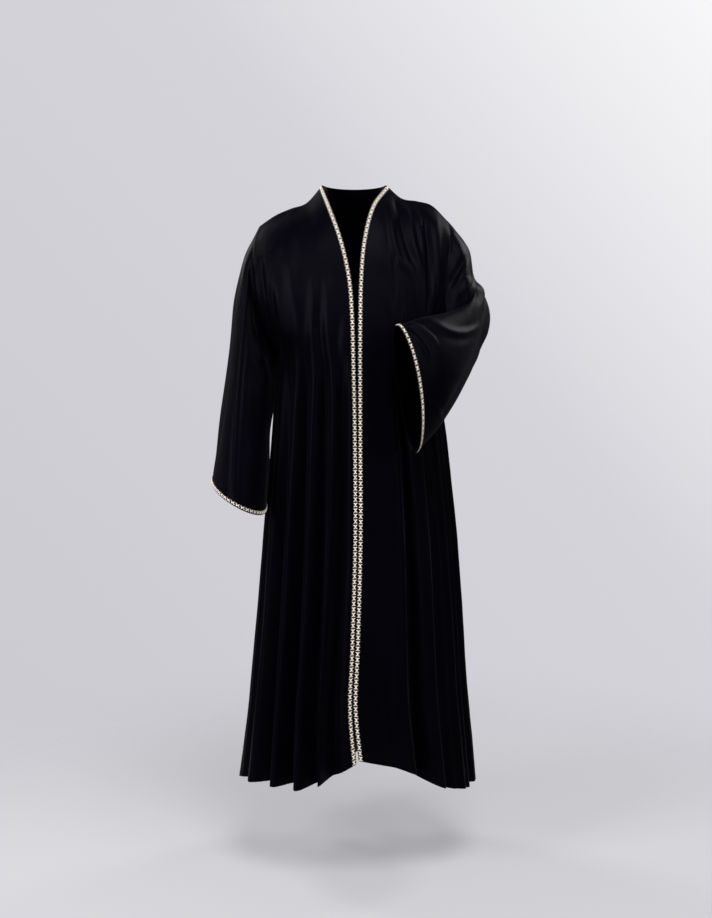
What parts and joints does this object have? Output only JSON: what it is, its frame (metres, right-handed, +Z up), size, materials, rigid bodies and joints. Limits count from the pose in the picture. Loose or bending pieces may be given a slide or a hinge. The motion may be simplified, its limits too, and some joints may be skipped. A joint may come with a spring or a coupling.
{
  "type": "abaya",
  "caption": "Long loose black abaya, worn open-fronted, with wide sleeves and a cream braid along the front edges, neckline and cuffs.",
  "frame": {"origin": "on the shoulder line at the middle of the neck, where the wearer's shoulders hold the garment up", "axes": "+Z up, -Y to the front, +X to the wearer's left"},
  "size_m": [0.6413, 0.5432, 1.4074],
  "materials": {
    "crepe": "near-black crepe with a soft low sheen",
    "braid": "cream and beige woven braid, matt"
  },
  "bodies": {
    "root": {"right_front": "crepe", "left_front": "crepe", "back": "crepe", "right_sleeve": "crepe", "left_sleeve": "crepe", "right_front_trim": "braid", "left_front_trim": "braid", "neck_trim": "braid", "right_cuff_trim": "braid", "left_cuff_trim": "braid"}
  },
  "joints": []
}
